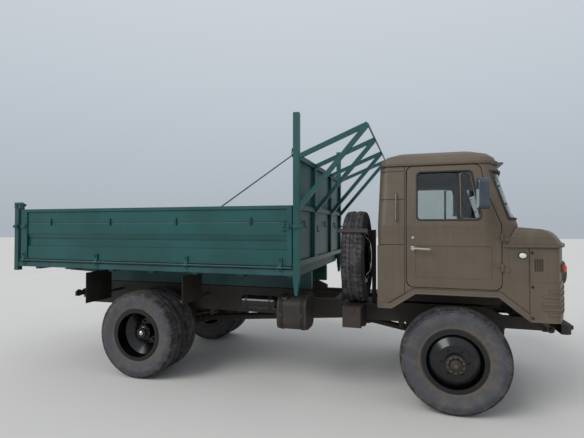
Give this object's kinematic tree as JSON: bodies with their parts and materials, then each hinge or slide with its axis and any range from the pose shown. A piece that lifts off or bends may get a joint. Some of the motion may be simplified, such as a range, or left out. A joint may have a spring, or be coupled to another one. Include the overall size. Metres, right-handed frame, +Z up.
{
  "type": "forward-control tipper truck",
  "caption": "Forward-control cargo truck with a steel tipping body, drop sides, top-hung tailgate, cab guard, twin rear wheels and an upright spare.",
  "frame": {"origin": "on the floor, midway between the tow hooks and the tailgate, on the truck's centre plane", "axes": "+X towards the truck's front, +Y towards its left side, +Z up"},
  "size_m": [6.09, 2.67, 2.79],
  "materials": {
    "cab_paint": "matt olive-brown enamel",
    "body_paint": "semi-gloss dark green enamel",
    "chassis_black": "worn black chassis paint",
    "engine_metal": "oily cast iron",
    "gloss_black": "gloss black enamel",
    "rusty_steel": "rusty exhaust steel",
    "ram_steel": "ground steel",
    "tyre_rubber": "dusty black rubber",
    "window_glass": "clear glass",
    "headlamp_glass": "ribbed lamp glass over a reflector",
    "lamp_lens": "coloured lamp lenses",
    "mirror_housing": "dark mirror housings",
    "trim_leather": "brown leathercloth",
    "control_plastic": "black moulded rim"
  },
  "bodies": {
    "chassis": {"frame_rails": "chassis_black", "cross_members": "chassis_black", "bumper": "chassis_black", "engine": "engine_metal", "radiator": "chassis_black", "front_axle": "chassis_black", "rear_axle": "chassis_black", "leaf_springs": "chassis_black", "prop_shafts": "chassis_black", "subframe": "chassis_black", "fuel_tank": "chassis_black", "air_tank": "gloss_black", "battery_box": "chassis_black", "spare_wheel": "tyre_rubber", "spare_carrier": "chassis_black", "mudguards": "chassis_black", "tail_lamps": "lamp_lens", "exhaust": "rusty_steel"},
    "cab": {"cab_shell": "cab_paint", "door_sills": "cab_paint", "arch_bands": "cab_paint", "cab_roof": "cab_paint", "cab_floor": "cab_paint", "nose_panel": "cab_paint", "grille": "cab_paint", "bonnet_lid": "cab_paint", "cab_glass": "window_glass", "headlamps": "headlamp_glass", "marker_lamps": "lamp_lens", "seats": "trim_leather", "steering_wheel": "control_plastic"},
    "door_right": {"door_right": "cab_paint", "door_glass_right": "window_glass", "mirror_right": "mirror_housing"},
    "door_left": {"door_left": "cab_paint", "door_glass_left": "window_glass", "mirror_left": "mirror_housing"},
    "knuckle_right": {"knuckle_right": "chassis_black"},
    "knuckle_left": {"knuckle_left": "chassis_black"},
    "tie_rod": {"tie_rod": "chassis_black"},
    "wheel_front_right": {"rim_front_right": "gloss_black", "tyre_front_right": "tyre_rubber"},
    "wheel_front_left": {"rim_front_left": "gloss_black", "tyre_front_left": "tyre_rubber"},
    "wheels_rear_right": {"rims_rear_right": "gloss_black", "tyres_rear_right": "tyre_rubber"},
    "wheels_rear_left": {"rims_rear_left": "gloss_black", "tyres_rear_left": "tyre_rubber"},
    "bed": {"bed_floor": "body_paint", "headboard": "body_paint", "cab_guard": "body_paint", "stay_rods": "body_paint"},
    "side_board_right": {"side_board_right": "body_paint"},
    "side_board_left": {"side_board_left": "body_paint"},
    "tailgate": {"tailgate": "body_paint"},
    "hoist_barrel": {"hoist_barrel": "chassis_black"},
    "hoist_ram": {"hoist_ram": "ram_steel"}
  },
  "joints": [
    {"name": "cab_tilt", "type": "hinge", "parent": "chassis", "child": "cab", "pos_m": [2.855, 0, 0.7], "axis": [0, 1, 0], "range_deg": [0, 40]},
    {"name": "door_right_swing", "type": "hinge", "parent": "cab", "child": "door_right", "pos_m": [2.335, -1.054, 1.69], "axis": [0, 0, 1], "range_deg": [0, 65]},
    {"name": "door_left_swing", "type": "hinge", "parent": "cab", "child": "door_left", "pos_m": [2.335, 1.054, 1.69], "axis": [0, 0, -1], "range_deg": [0, 65]},
    {"name": "steer_right", "type": "hinge", "parent": "chassis", "child": "knuckle_right", "pos_m": [1.955, -0.76, 0.48], "axis": [0, 0, 1], "range_deg": [-28, 28]},
    {"name": "steer_left", "type": "hinge", "parent": "chassis", "child": "knuckle_left", "pos_m": [1.955, 0.76, 0.48], "axis": [0, 0, 1], "range_deg": [-28, 28]},
    {"name": "tie_rod_pivot", "type": "hinge", "parent": "knuckle_left", "child": "tie_rod", "pos_m": [1.685, 0.76, 0.365], "axis": [0, 0, 1], "range_deg": [-28, 28]},
    {"name": "spin_front_right", "type": "hinge", "parent": "knuckle_right", "child": "wheel_front_right", "pos_m": [1.955, -0.9125, 0.48], "axis": [0, 1, 0], "continuous": true},
    {"name": "spin_front_left", "type": "hinge", "parent": "knuckle_left", "child": "wheel_front_left", "pos_m": [1.955, 0.9125, 0.48], "axis": [0, 1, 0], "continuous": true},
    {"name": "spin_rear_right", "type": "hinge", "parent": "chassis", "child": "wheels_rear_right", "pos_m": [-1.345, -0.825, 0.48], "axis": [0, 1, 0], "continuous": true},
    {"name": "spin_rear_left", "type": "hinge", "parent": "chassis", "child": "wheels_rear_left", "pos_m": [-1.345, 0.825, 0.48], "axis": [0, 1, 0], "continuous": true},
    {"name": "tip", "type": "hinge", "parent": "chassis", "child": "bed", "pos_m": [-2.465, 0, 1.05], "axis": [0, -1, 0], "range_deg": [0, 48]},
    {"name": "side_board_right_drop", "type": "hinge", "parent": "bed", "child": "side_board_right", "pos_m": [-1.22, -1.16, 1.286], "axis": [1, 0, 0], "range_deg": [0, 175]},
    {"name": "side_board_left_drop", "type": "hinge", "parent": "bed", "child": "side_board_left", "pos_m": [-1.22, 1.16, 1.286], "axis": [-1, 0, 0], "range_deg": [0, 175]},
    {"name": "tailgate_swing", "type": "hinge", "parent": "bed", "child": "tailgate", "pos_m": [-3.015, 0, 1.95], "axis": [0, 1, 0], "range_deg": [0, 60]},
    {"name": "hoist_swing", "type": "hinge", "parent": "chassis", "child": "hoist_barrel", "pos_m": [-0.695, 0, 0.73], "axis": [0, -1, 0], "range_deg": [-17.95, 0]},
    {"name": "hoist_stroke", "type": "slide", "parent": "hoist_barrel", "child": "hoist_ram", "axis": [-0.9129, 0, 0.4081], "range_m": [0, 0.6636]}
  ],
  "couplings": [
    {"joint": "steer_left", "follows": "steer_right", "ratio": 1},
    {"joint": "tie_rod_pivot", "follows": "steer_right", "ratio": -1},
    {"joint": "hoist_swing", "follows": "tip", "ratio": -0.35324},
    {"joint": "hoist_stroke", "follows": "tip", "m_per_rad": 0.78619}
  ]
}
